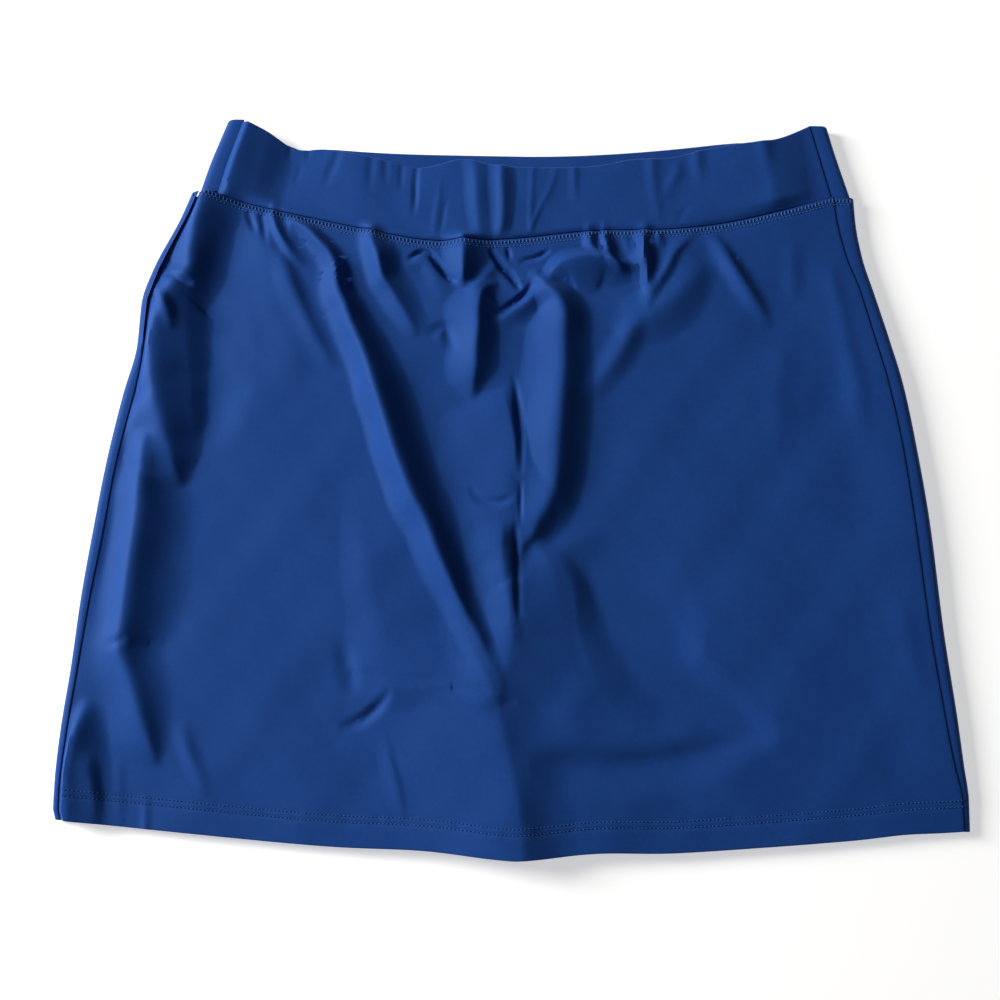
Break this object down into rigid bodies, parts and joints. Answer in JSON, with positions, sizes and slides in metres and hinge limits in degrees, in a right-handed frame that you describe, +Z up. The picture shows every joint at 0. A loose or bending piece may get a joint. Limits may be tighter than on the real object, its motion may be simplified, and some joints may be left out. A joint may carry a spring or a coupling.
{
  "type": "golf skort",
  "caption": "Golf skort laid flat: an A-line stretch-knit skirt over inner shorts, with a wide pull-on waistband.",
  "frame": {"origin": "middle of the garment's box, on the surface that its back panel lies on", "axes": "+Z up from the surface, +Y towards the waist, +X across the garment towards the right of the picture"},
  "size_m": [0.5392, 0.4628, 0.0211],
  "materials": {
    "knit": "smooth interlock sports knit, soft sheen",
    "shorts_knit": "thin plain knit, matte"
  },
  "bodies": {
    "root": {"waistband_front": "knit", "waistband_back": "knit", "skirt_front": "knit", "skirt_back": "knit", "shorts_left": "shorts_knit", "shorts_right": "shorts_knit"}
  },
  "joints": []
}
